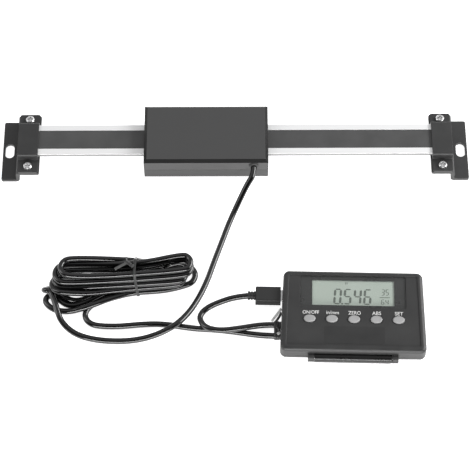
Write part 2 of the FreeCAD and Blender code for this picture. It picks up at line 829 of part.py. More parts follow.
def hank_block(grow):
    """Outer shape of the tied hank, a leaning stack of long loops."""
    low = hank_wire(V(mid_x - 99.5, -100.9, 0), V(mid_x - 31.0, -90.9, 0), 8.6 + grow, 0.6 - grow)
    high = hank_wire(V(mid_x - 94.5, -86.4, 0), V(mid_x - 30.5, -83.9, 0), 6.8 + grow, 16.8 + grow)
    return Part.makeLoft([low, high], True, True)


def build_cord(plug_end):
    table_z = cord_radius + 0.15
    grommet_x = head_x + grommet_along
    start_y = -head_depth / 2 - 1.0
    lead = [
        V(grommet_x, start_y, grommet_height),
        V(grommet_x - 0.2, start_y - 5.2, grommet_height - 0.2),
        V(mid_x + 7.6, -30.9, 12.8),
        V(mid_x + 2.9, -39.3, 7.2),
        V(mid_x - 2.6, -50.4, 2.9),
        V(mid_x - 7.3, -63.4, table_z),
        V(mid_x - 11.9, -76.4, table_z),
        V(mid_x - 16.7, -88.9, table_z),
        V(mid_x - 21.8, -100.5, 2.6),
        V(mid_x - 28.0, -110.5, 5.0),
        V(mid_x - 35.8, -118.9, 6.4),
        V(mid_x - 45.8, -124.2, 4.2),
        V(mid_x - 57.0, -126.8, 2.0),
        V(mid_x - 69.2, -127.4, table_z),
        V(mid_x - 81.0, -125.6, table_z),
        V(mid_x - 91.0, -121.1, table_z),
        V(mid_x - 98.0, -114.3, 2.4),
        V(mid_x - 101.8, -106.3, 4.0),
        V(mid_x - 103.0, -98.9, 5.6),
    ]
    tube("cord_head_lead", lead)
    fold_x = mid_x + 24.4
    fold_y = -120.5
    fold_r = 3.7
    fold_out = fold_r / math.cos(math.radians(30))
    display_lead = [
        V(mid_x - 76.0, -101.5, 4.6),
        V(mid_x - 81.6, -104.1, 3.4),
        V(mid_x - 85.2, -108.3, 2.3),
        V(mid_x - 85.0, -112.9, table_z),
        V(mid_x - 81.4, -116.4, table_z),
        V(mid_x - 75.0, -117.7, table_z),
        V(mid_x - 65.6, -117.9, table_z),
        V(mid_x - 55.0, -116.8, table_z),
        V(mid_x - 45.0, -116.3, table_z),
        V(mid_x - 35.0, -117.2, table_z),
        V(mid_x - 24.0, -118.8, table_z),
        V(mid_x - 12.0, -120.0, table_z),
        V(mid_x + 0.5, -121.8, table_z),
        V(mid_x + 11.5, -123.6, table_z),
        V(mid_x + 19.8, -124.2, 2.0),
        V(fold_x + fold_out / 2, fold_y - fold_r, 2.1),
        V(fold_x + fold_out, fold_y, 2.1),
        V(fold_x + fold_out / 2, fold_y + fold_r, 2.1),
        V(mid_x + 19.6, -116.6, 2.2),
        V(mid_x + 11.0, -117.4, 3.6),
        V(mid_x + 1.0, -119.7, 5.9),
        V(mid_x - 8.6, -120.5, 6.2),
        V(mid_x - 16.0, -117.7, 5.0),
        V(mid_x - 19.9, -112.1, 3.6),
        V(mid_x - 18.9, -106.1, 3.4),
        V(mid_x - 13.8, -102.8, 4.6),
        V(mid_x - 7.0, -101.8, 6.4),
        V(plug_end.x - 6.4, plug_end.y - 6.4 * math.tan(math.radians(display_turn)), plug_end.z),
        plug_end,
    ]
    tube("cord_display_lead", display_lead)
    hank = hank_block(0)
    save("cord_hank", hank)
    tie_x = mid_x - 57.0
    band = hank_block(0.5).common(box(tie_x - 1.2, tie_x + 1.2, -130, -60, -1, 30)).cut(hank)
    save("hank_tie", band)
    tie_x = mid_x + 21.6
    middle_y = (display_lead[14].y + display_lead[18].y) / 2
    reach = (display_lead[18].y - display_lead[14].y) / 2 + cord_radius + 0.15
    opening_low = 0.25
    opening_high = 2 * cord_radius + 0.65
    ring = box(tie_x, tie_x + 2.2, middle_y - reach - 0.4, middle_y + reach + 0.4, 0, opening_high + 0.3)
    ring = ring.cut(box(tie_x - 1, tie_x + 4, middle_y - reach, middle_y + reach, opening_low, opening_high))
    save("loop_tie", ring)


def main():
    os.makedirs("parts", exist_ok=True)
    build_beam()
    build_ends()
    build_head()
    plug_end = build_display()
    build_cord(plug_end)
    print(len(saved), "pieces")


main()
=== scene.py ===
"""Digital linear scale with a remote display: looks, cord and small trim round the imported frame."""
import json
import math

import bmesh
import bpy
from mathutils import Matrix, Vector


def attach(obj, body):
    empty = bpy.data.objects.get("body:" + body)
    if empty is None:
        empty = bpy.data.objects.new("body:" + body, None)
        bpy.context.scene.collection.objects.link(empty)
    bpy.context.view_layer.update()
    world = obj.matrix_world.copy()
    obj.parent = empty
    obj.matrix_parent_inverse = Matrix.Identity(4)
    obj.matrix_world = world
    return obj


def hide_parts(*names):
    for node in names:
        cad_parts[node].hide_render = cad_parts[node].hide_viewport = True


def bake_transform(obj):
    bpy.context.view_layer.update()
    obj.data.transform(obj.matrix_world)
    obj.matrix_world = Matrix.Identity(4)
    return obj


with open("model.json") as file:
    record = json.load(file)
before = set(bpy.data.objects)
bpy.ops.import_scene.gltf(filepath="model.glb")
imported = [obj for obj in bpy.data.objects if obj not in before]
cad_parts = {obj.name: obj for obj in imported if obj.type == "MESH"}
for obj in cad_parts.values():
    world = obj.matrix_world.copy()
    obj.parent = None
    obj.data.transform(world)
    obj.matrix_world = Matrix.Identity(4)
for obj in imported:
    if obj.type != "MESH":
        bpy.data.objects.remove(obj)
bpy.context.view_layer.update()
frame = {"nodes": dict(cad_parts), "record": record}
nodes = frame["nodes"]

MM = 0.001
ROOT = "scale_and_display"
MID_X = 134.5
DISPLAY_X, DISPLAY_Y = 200.6, -114.7
DISPLAY_TURN = math.radians(-1.5)


def from_beam(x, y, z):
    """A point given in millimetres from the middle of the beam, in metres in the frame."""
    return Vector(((x + MID_X) * MM, y * MM, z * MM))


def on_display(x, y, z):
    """A point given in millimetres from the middle of the display case, in metres in the frame."""
    cos, sin = math.cos(DISPLAY_TURN), math.sin(DISPLAY_TURN)
    return Vector(((DISPLAY_X + x * cos - y * sin) * MM, (DISPLAY_Y + x * sin + y * cos) * MM, z * MM))


# Camera

CAMERA_PLACE = (0.13391, -0.62065, 0.97582)
CAMERA_LENS = 147.99
CAMERA_NEAR = 0.01
SENSOR_WIDTH = 36.0
CAMERA_PAN = math.radians(-0.033)
CAMERA_TILT = math.radians(30.0)
CAMERA_ROLL = math.radians(-0.158)


def make_camera():
    """A long lens that looks down at the table from 60 degrees."""
    data = bpy.data.cameras.new("camera")
    data.lens = CAMERA_LENS
    data.sensor_width = SENSOR_WIDTH
    data.clip_start = CAMERA_NEAR
    camera = bpy.data.objects.new("camera", data)
    bpy.context.scene.collection.objects.link(camera)
    turn = Matrix.Rotation(CAMERA_PAN, 4, "Z") @ Matrix.Rotation(CAMERA_TILT, 4, "X")
    camera.matrix_world = Matrix.Translation(CAMERA_PLACE) @ turn @ Matrix.Rotation(CAMERA_ROLL, 4, "Z")
    bpy.context.scene.camera = camera


# Material tools; lengths are in metres, and noise scales are in features a metre

NOISE_LOW, NOISE_HIGH = 0.3, 0.7
CLOUD_SCALE, CLOUD_DETAIL = 90, 4.0
FINE_DETAIL = 2.0
DARKER, LIGHTER = 0.88, 1.12
ROUGH_SPREAD = 0.05
MARK_SCALE, MARK_DETAIL, MARK_DEPTH = 2500, 4.0, 0.000006
TARNISH = 0.9
POLISHED, SCUFFED = 0.06, 0.08
BEVEL_SAMPLES = 4
WALL_END, BEVEL_START, BEVEL_END, TOP_START = 0.30, 0.45, 0.85, 0.95


def new_material(name):
    material = bpy.data.materials.new(name)
    material.use_nodes = True
    tree = material.node_tree
    return material, tree, tree.nodes["Principled BSDF"]


def add(tree, kind, sockets=None, **settings):
    made = tree.nodes.new(kind)
    for key, value in settings.items():
        setattr(made, key, value)
    for key, value in (sockets or {}).items():
        made.inputs[key].default_value = value
    return made


def noise(tree, scale, detail=3.0, stretch=(1, 1, 1)):
    """Noise over the piece's own metres."""
    place = add(tree, "ShaderNodeTexCoord")
    mapping = add(tree, "ShaderNodeMapping", {"Scale": stretch})
    made = add(tree, "ShaderNodeTexNoise", {"Scale": scale, "Detail": detail})
    tree.links.new(place.outputs["Object"], mapping.inputs["Vector"])
    tree.links.new(mapping.outputs["Vector"], made.inputs["Vector"])
    return made.outputs["Fac"]


def spread(tree, value, low, high):
    """A noise value stretched to run from low to high."""
    ends = {"From Min": NOISE_LOW, "From Max": NOISE_HIGH, "To Min": low, "To Max": high}
    made = add(tree, "ShaderNodeMapRange", ends)
    tree.links.new(value, made.inputs["Value"])
    return made.outputs["Result"]


def ramp(tree, value, stops):
    """A colour picked by a value from stops, each a place and its colour."""
    made = add(tree, "ShaderNodeValToRGB")
    elements = made.color_ramp.elements
    first, *middle, last = stops
    for i, (place, colour) in enumerate((first, last)):
        elements[i].position = place
        elements[i].color = (*colour, 1)
    for place, colour in middle:
        elements.new(place).color = (*colour, 1)
    tree.links.new(value, made.inputs["Fac"])
    return made.outputs["Color"]


def tint(tree, value, dark, light):
    """A colour between dark and light, picked by a value: mostly a noise value, and on the beam how far a
    face looks up, which is painted shade.
    """
    return ramp(tree, value, [(NOISE_LOW, dark), (NOISE_HIGH, light)])


def upward(tree):
    """How far a face looks up: 0 on a wall, 1 on a level top."""
    facing = add(tree, "ShaderNodeNewGeometry")
    parts = add(tree, "ShaderNodeSeparateXYZ")
    tree.links.new(facing.outputs["True Normal"], parts.inputs["Vector"])
    return parts.outputs["Z"]


def by_slope(tree, wall, bevel, top):
    """A grey picked by how a face leans: one for walls, one for bevels, one for level tops; used as a base
    colour it is painted shade.
    """
    bevels = [(BEVEL_START, grey(bevel)), (BEVEL_END, grey(bevel))]
    return ramp(tree, upward(tree), [(WALL_END, grey(wall)), *bevels, (TOP_START, grey(top))])


def relief(tree, shader, value, depth, edge):
    """Bump of that depth over edges that look rounded."""
    bevel = add(tree, "ShaderNodeBevel", {"Radius": edge}, samples=BEVEL_SAMPLES)
    bump = add(tree, "ShaderNodeBump", {"Strength": 1.0, "Distance": depth})
    tree.links.new(bevel.outputs["Normal"], bump.inputs["Normal"])
    tree.links.new(value, bump.inputs["Height"])
    tree.links.new(bump.outputs["Normal"], shader.inputs["Normal"])


def grey(level):
    return (level, level, level)


# Materials

def moulded(name, level, rough, edge, texture=4500, depth=0.00002):
    """A moulded plastic or a coat with a fine even texture and slight clouding."""
    material, tree, shader = new_material(name)
    clouds = noise(tree, CLOUD_SCALE, CLOUD_DETAIL)
    fine = noise(tree, texture, FINE_DETAIL)
    colour = tint(tree, clouds, grey(level * DARKER), grey(level * LIGHTER))
    tree.links.new(colour, shader.inputs["Base Color"])
    gloss = spread(tree, clouds, rough - ROUGH_SPREAD, rough + ROUGH_SPREAD)
    tree.links.new(gloss, shader.inputs["Roughness"])
    relief(tree, shader, fine, depth, edge)
    return material


def metal(name, level, rough, edge, stretch=(1, 1, 1)):
    """A bare or plated metal with drawn or tumbled marks."""
    material, tree, shader = new_material(name)
    marks = noise(tree, MARK_SCALE, MARK_DETAIL, stretch)
    tree.links.new(tint(tree, marks, grey(level * TARNISH), grey(level)), shader.inputs["Base Color"])
    gloss = spread(tree, marks, rough - POLISHED, rough + SCUFFED)
    tree.links.new(gloss, shader.inputs["Roughness"])
    shader.inputs["Metallic"].default_value = 1.0
    relief(tree, shader, marks, MARK_DEPTH, edge)
    return material


def coloured(name, dark, light, rough, edge, scale=700, depth=0.00001):
    """A piece whose colour wanders between two tones."""
    material, tree, shader = new_material(name)
    clouds = noise(tree, scale)
    tree.links.new(tint(tree, clouds, dark, light), shader.inputs["Base Color"])
    gloss = spread(tree, clouds, rough - ROUGH_SPREAD, rough + ROUGH_SPREAD)
    tree.links.new(gloss, shader.inputs["Roughness"])
    relief(tree, shader, clouds, depth, edge)
    return material


def sloped(name, painted_shade_greys, gloss, rough, edge, texture, depth):
    """A grained plastic with painted shade: its base grey and its gloss level are picked by slope, one each
    for walls, bevels and level tops.
    """
    material, tree, shader = new_material(name)
    clouds = noise(tree, CLOUD_SCALE, CLOUD_DETAIL)
    fine = noise(tree, texture, FINE_DETAIL)
    # painted shade: the base colour is a grey picked by how each face leans, standing in for how light falls
    # on walls, bevels and tops
    tree.links.new(by_slope(tree, *painted_shade_greys), shader.inputs["Base Color"])
    tree.links.new(by_slope(tree, *gloss), shader.inputs["Specular IOR Level"])
    tree.links.new(spread(tree, clouds, *rough), shader.inputs["Roughness"])
    relief(tree, shader, fine, depth, edge)
    return material


def head_plastic_painted_shade():
    """Grained plastic with painted shade: the bevels between the flat faces are coloured darker and given
    less specular than the faces.
    """
    # painted shade: bevel grey 0.006 between walls at 0.040 and level tops at 0.054
    painted_shade_greys, gloss = (0.040, 0.006, 0.054), (0.50, 0.15, 0.50)
    return sloped("head_plastic_painted_shade", painted_shade_greys, gloss, rough=(0.36, 0.44), edge=0.0002, texture=4500, depth=0.00002)


def plug_rubber_painted_shade():
    """Matt rubber with painted shade: the plug's upright sides are coloured darker and given less specular
    than its top.
    """
    # painted shade: walls 0.005, bevels 0.012, level tops 0.018
    painted_shade_greys, gloss = (0.005, 0.012, 0.018), (0.15, 0.35, 0.50)
    return sloped("plug_rubber_painted_shade", painted_shade_greys, gloss, rough=(0.43, 0.53), edge=0.0003, texture=5000, depth=0.000015)


def drawn_bar_painted_shade():
    """Bright drawn aluminium with painted shade: its upright sides are coloured darker than its top."""
    material, tree, shader = new_material("satin_aluminium_painted_shade")
    marks = noise(tree, MARK_SCALE, MARK_DETAIL, (0.02, 1, 1))
    # painted shade: base colour runs from 0.28 on the upright sides to 0.94 on the level top, by how far the
    # face looks up
    tree.links.new(tint(tree, upward(tree), grey(0.28), grey(0.94)), shader.inputs["Base Color"])
    tree.links.new(spread(tree, marks, 0.34, 0.46), shader.inputs["Roughness"])
    shader.inputs["Metallic"].default_value = 0.45
    relief(tree, shader, marks, depth=0.000004, edge=0.0002)
    return material


def clear_window():
    """Acrylic: a thin clear sheet that keeps a little gloss."""
    material, tree, shader = new_material("clear_window")
    haze = noise(tree, 160)
    colour = tint(tree, haze, dark=(0.10, 0.11, 0.105), light=(0.13, 0.14, 0.135))
    tree.links.new(colour, shader.inputs["Base Color"])
    tree.links.new(spread(tree, haze, 0.03, 0.07), shader.inputs["Roughness"])
    shader.inputs["Alpha"].default_value = 0.08
    relief(tree, shader, haze, depth=0.000004, edge=0.0002)
    return material


def cord_jacket():
    """Glossy black PVC with the faint unevenness of an extruded jacket."""
    material, tree, shader = new_material("cord_jacket")
    waves = noise(tree, 120, 2.0)
    tree.links.new(tint(tree, waves, grey(0.002), grey(0.004)), shader.inputs["Base Color"])
    tree.links.new(spread(tree, waves, 0.12, 0.17), shader.inputs["Roughness"])
    shader.inputs["Specular IOR Level"].default_value = 0.75
    relief(tree, shader, waves, depth=0.00003, edge=0.0001)
    return material


def lcd_glass():
    """Grey-green liquid crystal glass, almost even."""
    dark, light = (0.455, 0.520, 0.460), (0.485, 0.550, 0.490)
    return coloured("lcd_glass", dark, light, rough=0.22, edge=0.0001, scale=60, depth=0.000002)


def scale_materials():
    """The beam, its ends and the reading head."""
    board_dark, board_light = (0.010, 0.085, 0.035), (0.016, 0.115, 0.050)
    nylon_dark, nylon_light = (0.70, 0.68, 0.60), (0.78, 0.76, 0.69)
    return {
        "beam": drawn_bar_painted_shade(),
        "scale_strip": moulded("strip_coat", 0.064, rough=0.42, edge=0.0001, texture=2600, depth=0.000006),
        "bracket": moulded("powder_coat", 0.032, rough=0.50, edge=0.0003, texture=2200, depth=0.00003),
        "clamp": moulded("clamp_coat", 0.029, rough=0.48, edge=0.0003, texture=2200, depth=0.00003),
        "screw": metal("zinc_screw", 0.78, rough=0.26, edge=0.00015),
        "head_cover": head_plastic_painted_shade(),
        "head_base": moulded("base_plastic", 0.030, rough=0.44, edge=0.0003),
        "shoe": coloured("guide_plastic", (0.62, 0.60, 0.54), (0.70, 0.68, 0.62), rough=0.35, edge=0.0002),
        "spring": metal("spring_steel", 0.62, rough=0.28, edge=0.0001, stretch=(0.1, 1, 1)),
        "board": coloured("circuit_board", board_dark, board_light, rough=0.32, edge=0.0001),
        "chip": moulded("chip_resin", 0.018, rough=0.55, edge=0.0001),
        "connector": coloured("connector_nylon", nylon_dark, nylon_light, rough=0.40, edge=0.0001),
        "grommet": moulded("grommet_rubber", 0.036, rough=0.50, edge=0.0002),
    }


def display_materials():
    """The display, its stand and what is inside it."""
    zebra_dark, zebra_light = (0.10, 0.10, 0.10), (0.30, 0.27, 0.22)
    return {
        "case": moulded("case_plastic", 0.026, rough=0.46, edge=0.0004),
        "tilt_stand": moulded("stand_plastic", 0.006, rough=0.30, edge=0.0004),
        "lens": clear_window(),
        "lcd": lcd_glass(),
        "strips": coloured("zebra_rubber", zebra_dark, zebra_light, rough=0.60, edge=0.0001, scale=2500),
        "mat": coloured("keypad_rubber", (0.42, 0.42, 0.41), (0.48, 0.48, 0.47), rough=0.60, edge=0.0002),
        "button": moulded("button_plastic", 0.325, rough=0.38, edge=0.0003, texture=3500, depth=0.00001),
        "socket": metal("nickel_shell", 0.72, rough=0.24, edge=0.0001),
        "cell": metal("cell_steel", 0.74, rough=0.22, edge=0.0002),
        "contact": metal("nickel_contact", 0.70, rough=0.26, edge=0.0001),
        "holder": moulded("holder_plastic", 0.024, rough=0.50, edge=0.0002),
        "pin": metal("pin_steel", 0.66, rough=0.25, edge=0.0001),
    }


def cord_materials():
    """The cord, its plug and the wire ties."""
    return {
        "cord": cord_jacket(),
        "plug": plug_rubber_painted_shade(),
        "tie": moulded("tie_coat", 0.030, rough=0.30, edge=0.0001, texture=2500, depth=0.00001),
    }


def dress_frame(materials):
    """Every node takes the material of its own name, or else that of its slot in the record."""
    for part in frame["record"]["subparts"]:
        chosen = materials.get(part["node"], materials[part["material_slot"]])
        for place in nodes[part["node"]].material_slots:
            place.material = chosen


# Pieces

def place_mesh(name, mesh, material, body):
    mesh.materials.clear()
    mesh.materials.append(material)
    piece = bpy.data.objects.new(name, mesh)
    bpy.context.scene.collection.objects.link(piece)
    if body:
        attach(piece, body)
    return piece


def finish_mesh(made, name, smooth_sides=4):
    """The finished mesh; faces with that many corners are shaded smooth."""
    bmesh.ops.recalc_face_normals(made, faces=made.faces)
    mesh = bpy.data.meshes.new(name)
    made.to_mesh(mesh)
    made.free()
    for face in mesh.polygons:
        face.use_smooth = len(face.vertices) == smooth_sides
    return mesh


def round_section(radius, sides):
    turns = [2 * math.pi * k / sides for k in range(sides)]
    return [(radius * math.sin(turn), radius * math.cos(turn)) for turn in turns]


CORNER_CUT = 0.3


def flat_section(width, thickness):
    """A strip's section with its four corners taken off."""
    half, high = width / 2, thickness / 2
    cut = thickness * CORNER_CUT
    quarter = [(half, high - cut), (half - cut, high)]
    left = [(-a, b) for a, b in reversed(quarter)]
    return quarter + left + [(-a, -b) for a, b in quarter] + [(a, -b) for a, b in reversed(quarter)]


def sweep(made, path, section, outs=None, closed=False):
    """A skin carried along a path without twisting, or with its upper side turned to the outs."""
    last = len(path) - 1
    rings = []
    across = Vector((0, 0, 1))
    for i, point in enumerate(path):
        before = path[i - 1] if i or closed else point
        after = path[0 if i == last else i + 1] if i < last or closed else point
        along = (after - before).normalized()
        if outs:
            across = outs[i]
        across = (across - along * across.dot(along)).normalized()
        side = along.cross(across)
        rings.append([made.verts.new(point + side * a + across * b) for a, b in section])
    pairs = list(zip(rings, rings[1:]))
    if closed:
        pairs.append((rings[-1], rings[0]))
    for low, high in pairs:
        for k in range(len(section)):
            after = (k + 1) % len(section)
            made.faces.new((low[k], low[after], high[after], high[k]))
    if not closed:
        made.faces.new(rings[0])
        made.faces.new(rings[-1])


SAME_POINT = 1e-4


def smooth_line(route, steps):
    """Points along the NURBS spline that has the route's points as its control points."""
    curve = bpy.data.curves.new("route", "CURVE")
    curve.dimensions = "3D"
    spline = curve.splines.new("NURBS")
    spline.points.add(len(route) - 1)
    for point, place in zip(spline.points, route):
        point.co = (*place, 1)
    spline.order_u = 3
    spline.use_endpoint_u = True
    spline.resolution_u = steps
    carrier = bpy.data.objects.new("route", curve)
    line = bpy.data.meshes.new_from_object(carrier)
    points = []
    for vertex in line.vertices:
        if not points or (vertex.co - points[-1]).length > SAME_POINT:
            points.append(vertex.co.copy())
    bpy.data.objects.remove(carrier)
    bpy.data.curves.remove(curve)
    bpy.data.meshes.remove(line)
    return points


# Cord: route points in millimetres from the middle of the beam

CORD_DIAMETER = 3.5
CORD_STEPS = 8
CORD_SIDES = 16
TABLE_Z = 1.8
TIE_X = -57.0
LOBE_STEPS = 4
SPLINE_PULL = 0.925
LAYER_D, LAYER_C, LAYER_B, LAYER_A = 5.25, 8.6, 11.95, 15.3

# From the head's bush down to the table, round in front of the hank, and back under its left end
HEAD_LEAD = [
    (10.9, -20.2, 16.2),
    (10.7, -26.0, 16.0),
    (6.9, -30.6, 12.8),
    (1.9, -39.3, 7.2),
    (-3.3, -49.7, 2.9),
    (-7.8, -62.7, TABLE_Z),
    (-12.5, -76.5, TABLE_Z),
    (-16.3, -88.9, TABLE_Z),
    (-21.2, -100.7, 2.6),
    (-26.9, -111.5, 5.0),
    (-34.6, -120.1, 6.2),
    (-45.5, -125.0, 4.2),
    (-57.0, -127.0, 2.0),
    (-69.3, -127.4, TABLE_Z),
    (-81.6, -126.0, TABLE_Z),
    (-91.9, -122.2, TABLE_Z),
    (-99.0, -115.6, 3.4),
    (-101.4, -109.0, 5.3),
    (-103.0, -103.4, 5.8),
    (-104.9, -98.8, 5.7),
    (-106.4, -96.9, 6.0),
    (-108.6, -96.6, 5.9),
    (-109.6, -95.4, 4.0),
    (-108.8, -94.1, 2.0),
    (-105.6, -93.4, TABLE_Z),
    (-101.5, -95.7, 2.3),
    (-96.9, -100.3, 2.9),
    (-91.5, -101.8, 2.2),
    (-85.5, -100.2, TABLE_Z),
    (-77.5, -95.8, TABLE_Z),
    (-68.5, -91.0, TABLE_Z),
]

# The hank's near run on the table, out to the small eye at its left end
LAST_NEAR_RUN = [
    (-36.5, -93.9, TABLE_Z),
    (-44.5, -95.2, TABLE_Z),
    (TIE_X, -95.9, TABLE_Z),
    (-66.0, -98.8, 3.2),
    (-74.0, -102.6, 5.2),
    (-80.5, -105.8, 5.6),
    (-87.5, -107.9, 4.6),
    (-94.5, -108.6, 2.3),
    (-101.5, -107.9, TABLE_Z),
    (-106.4, -105.2, TABLE_Z),
    (-109.0, -101.4, TABLE_Z),
    (-107.4, -98.0, TABLE_Z),
    (-103.4, -98.2, TABLE_Z),
]

# From the eye through the tie, round a hairpin under the hank, and back out
TABLE_RUN = [
    (-99.8, -101.6, TABLE_Z),
    (-95.3, -104.7, TABLE_Z),
    (-88.5, -104.2, 2.4),
    (-79.0, -99.8, 4.0),
    (-69.0, -93.6, 4.4),
    (TIE_X, -90.6, 5.1),
    (-47.0, -88.2, 4.8),
    (-41.2, -86.4, 4.4),
    (-37.6, -87.4, 3.6),
    (-37.4, -90.4, 2.6),
    (-41.0, -92.4, 2.0),
    (-47.0, -92.0, TABLE_Z),
    (TIE_X, -92.3, TABLE_Z),
    (-68.0, -96.2, TABLE_Z),
    (-76.0, -100.4, TABLE_Z),
    (-82.6, -104.5, TABLE_Z),
]

# Along the table to the fold beside the display, back over itself, and up into the plug
DISPLAY_LEAD = [
    (-85.6, -108.5, TABLE_Z),
    (-85.4, -113.1, TABLE_Z),
    (-81.6, -116.8, TABLE_Z),
    (-75.0, -117.8, TABLE_Z),
    (-65.6, -117.9, TABLE_Z),
    (-55.0, -116.8, TABLE_Z),
    (-45.0, -116.3, TABLE_Z),
    (-35.0, -117.4, TABLE_Z),
    (-24.0, -119.4, TABLE_Z),
    (-12.0, -120.1, TABLE_Z),
    (0.5, -121.7, TABLE_Z),
    (11.5, -123.6, TABLE_Z),
    (19.8, -124.3, 2.0),
    (24.8, -124.5, 2.1),
    (28.2, -123.6, 2.1),
    (29.0, -121.0, 2.1),
    (27.8, -118.6, 2.1),
    (24.2, -117.6, 2.2),
    (18.8, -117.5, 2.5),
    (11.2, -118.8, 3.8),
    (0.9, -121.6, 5.7),
    (-9.0, -123.0, 6.0),
    (-17.2, -120.4, 4.8),
    (-20.6, -114.6, 3.6),
    (-19.4, -110.2, 3.6),
    (-15.0, -106.8, 4.6),
    (-7.5, -104.2, 6.4),
    (1.0, -102.2, 7.9),
    (9.3, -101.6, 7.95),
]


def lobe(side, x, y, radius, z_in, z_out):
    """Control points round one end of the hank: the left end goes near to far, the right end far to near.

    The spline cuts inside its control points, so they lie a little outside the radius.
    """
    points = []
    reach = radius / SPLINE_PULL
    for i in range(LOBE_STEPS + 1):
        share = i / LOBE_STEPS
        turn = -math.pi / 2 + math.pi * share
        z = z_in + (z_out - z_in) * share
        points.append((x + side * reach * math.cos(turn), y - side * reach * math.sin(turn), z))
    return points


def hank_turns():
    """Three wound turns that ride up on each other, one that comes back down, and the turn on the table."""
    left, right = -1, 1
    points = [(TIE_X, -88.7, TABLE_Z), (-45.0, -86.0, 5.4)]
    points += lobe(right, -33.2, -88.0, 4.6, LAYER_C, LAYER_C)
    points += [(TIE_X, -94.4, LAYER_C)]
    points += lobe(left, -97.5, -91.1, 5.7, LAYER_C, LAYER_C)
    points += [(TIE_X, -85.6, 9.8)]
    points += lobe(right, -30.6, -85.3, 5.2, LAYER_B, LAYER_B)
    points += [(TIE_X, -93.2, LAYER_B)]
    points += lobe(left, -96.9, -89.2, 5.9, LAYER_B, LAYER_B)
    points += [(TIE_X, -84.2, 13.3)]
    points += lobe(right, -30.3, -84.0, 4.7, LAYER_A, LAYER_A)
    points += [(TIE_X, -91.4, LAYER_A), (-78.0, -92.9, LAYER_A)]
    points += lobe(left, -94.2, -86.9, 5.3, LAYER_A, LAYER_A)
    points += [(-78.0, -81.3, 15.0), (TIE_X, -80.0, 10.6), (-42.0, -80.4, 6.4)]
    points += lobe(right, -34.2, -88.6, 4.4, LAYER_D, LAYER_D)
    points += [(TIE_X, -95.2, LAYER_D), (-68.5, -97.0, 5.8), (-82.0, -100.0, 8.2), (-90.5, -100.5, 9.2)]
    points += lobe(left, -98.8, -93.4, 6.0, 9.2, 4.8)
    points += [(-91.0, -87.2, 3.4), (-80.0, -84.8, TABLE_Z), (-68.5, -84.2, TABLE_Z)]
    points += [(TIE_X, -84.4, TABLE_Z), (-43.0, -80.4, TABLE_Z)]
    points += lobe(right, -29.6, -85.0, 6.3, TABLE_Z, TABLE_Z)
    return points + LAST_NEAR_RUN + TABLE_RUN


def make_cord(material):
    """One cord from the head to the plug; its lead runs from the head down to the table."""
    route = [from_beam(*point) for point in HEAD_LEAD + hank_turns() + DISPLAY_LEAD]
    line = smooth_line(route, CORD_STEPS)
    made = bmesh.new()
    sweep(made, line, round_section(CORD_DIAMETER / 2 * MM, CORD_SIDES))
    cord = place_mesh("cord", finish_mesh(made, "cord"), material, None)
    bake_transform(cord)
    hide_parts("cord_head_lead", "cord_hank", "cord_display_lead")
    return cord, line


# Display trim: millimetres from the middle of the case

PANEL_Z = 14.1
GLASS_Z = 12.8
BUTTON_Y = -5.5
BUTTON_ASIDE = 0.45
BUTTON_PITCH = 12.5
LEGEND_RISE = 4.05
LEGEND_HEIGHT = 2.2
LETTER_DEPTH, LETTER_WEIGHT = 0.5, 0.010
PRINT = 0.03
CORNER_STEPS = 5
BORDER_SIZE, BORDER_PLACE, BORDER_CORNER = (59.2, 20.2), (0, 11.9), 0.6
WINDOW_SIZE, WINDOW_PLACE, WINDOW_CORNER = (46.4, 15.9), (0.05, 11.6), 0.3
BORDER_LOW, BORDER_HIGH = PANEL_Z - 0.78, PANEL_Z - 0.74
FIELD_SIZE, FIELD_PLACE, FIELD_CORNER = (34.0, 10.8), (0.75, -15.6), 0.8
FIELD_LOW, FIELD_HIGH = PANEL_Z - 0.02, PANEL_Z + 0.05

# Each word with its width and how far it lies to the right of its button
LEGENDS = [
    ("legend_on_off", "ON/OFF", 9.2, 0.7),
    ("legend_unit", "in/mm", 7.0, 0.4),
    ("legend_zero", "ZERO", 7.0, 0.2),
    ("legend_abs", "ABS", 5.0, 0.1),
    ("legend_set", "SET", 4.7, 0.2),
]


def letters(name, words):
    """A mesh of solid letters at the font's own size."""
    curve = bpy.data.curves.new(name, "FONT")
    curve.body = words
    curve.extrude = LETTER_DEPTH
    curve.offset = LETTER_WEIGHT
    carrier = bpy.data.objects.new(name, curve)
    mesh = bpy.data.meshes.new_from_object(carrier)
    bpy.data.objects.remove(carrier)
    bpy.data.curves.remove(curve)
    return mesh


def make_legends(material):
    """Printed words over the five buttons."""
    for i, (name, words, width, aside) in enumerate(LEGENDS):
        mesh = letters(name, words)
        spots = [vertex.co for vertex in mesh.vertices]
        low = [min(spot[k] for spot in spots) for k in range(3)]
        high = [max(spot[k] for spot in spots) for k in range(3)]
        middle_x = BUTTON_ASIDE + (i - 2) * BUTTON_PITCH + aside
        for spot in spots:
            x = (spot.x - (low[0] + high[0]) / 2) / (high[0] - low[0]) * width
            y = (spot.y - (low[1] + high[1]) / 2) / (high[1] - low[1]) * LEGEND_HEIGHT
            z = PANEL_Z + spot.z * 2 * PRINT
            spot.xyz = on_display(middle_x + x, BUTTON_Y + LEGEND_RISE + y, z)
        place_mesh(name, mesh, material, ROOT)


def rounded_outline(width, height, x, y, corner):
    """Corners of a rectangle with rounded corners, counted round from the far right one."""
    points = []
    for quarter, (sx, sy) in enumerate([(1, 1), (-1, 1), (-1, -1), (1, -1)]):
        for k in range(CORNER_STEPS + 1):
            turn = math.pi / 2 * (quarter + k / CORNER_STEPS)
            across = x + sx * (width / 2 - corner) + corner * math.cos(turn)
            points.append((across, y + sy * (height / 2 - corner) + corner * math.sin(turn)))
    return points


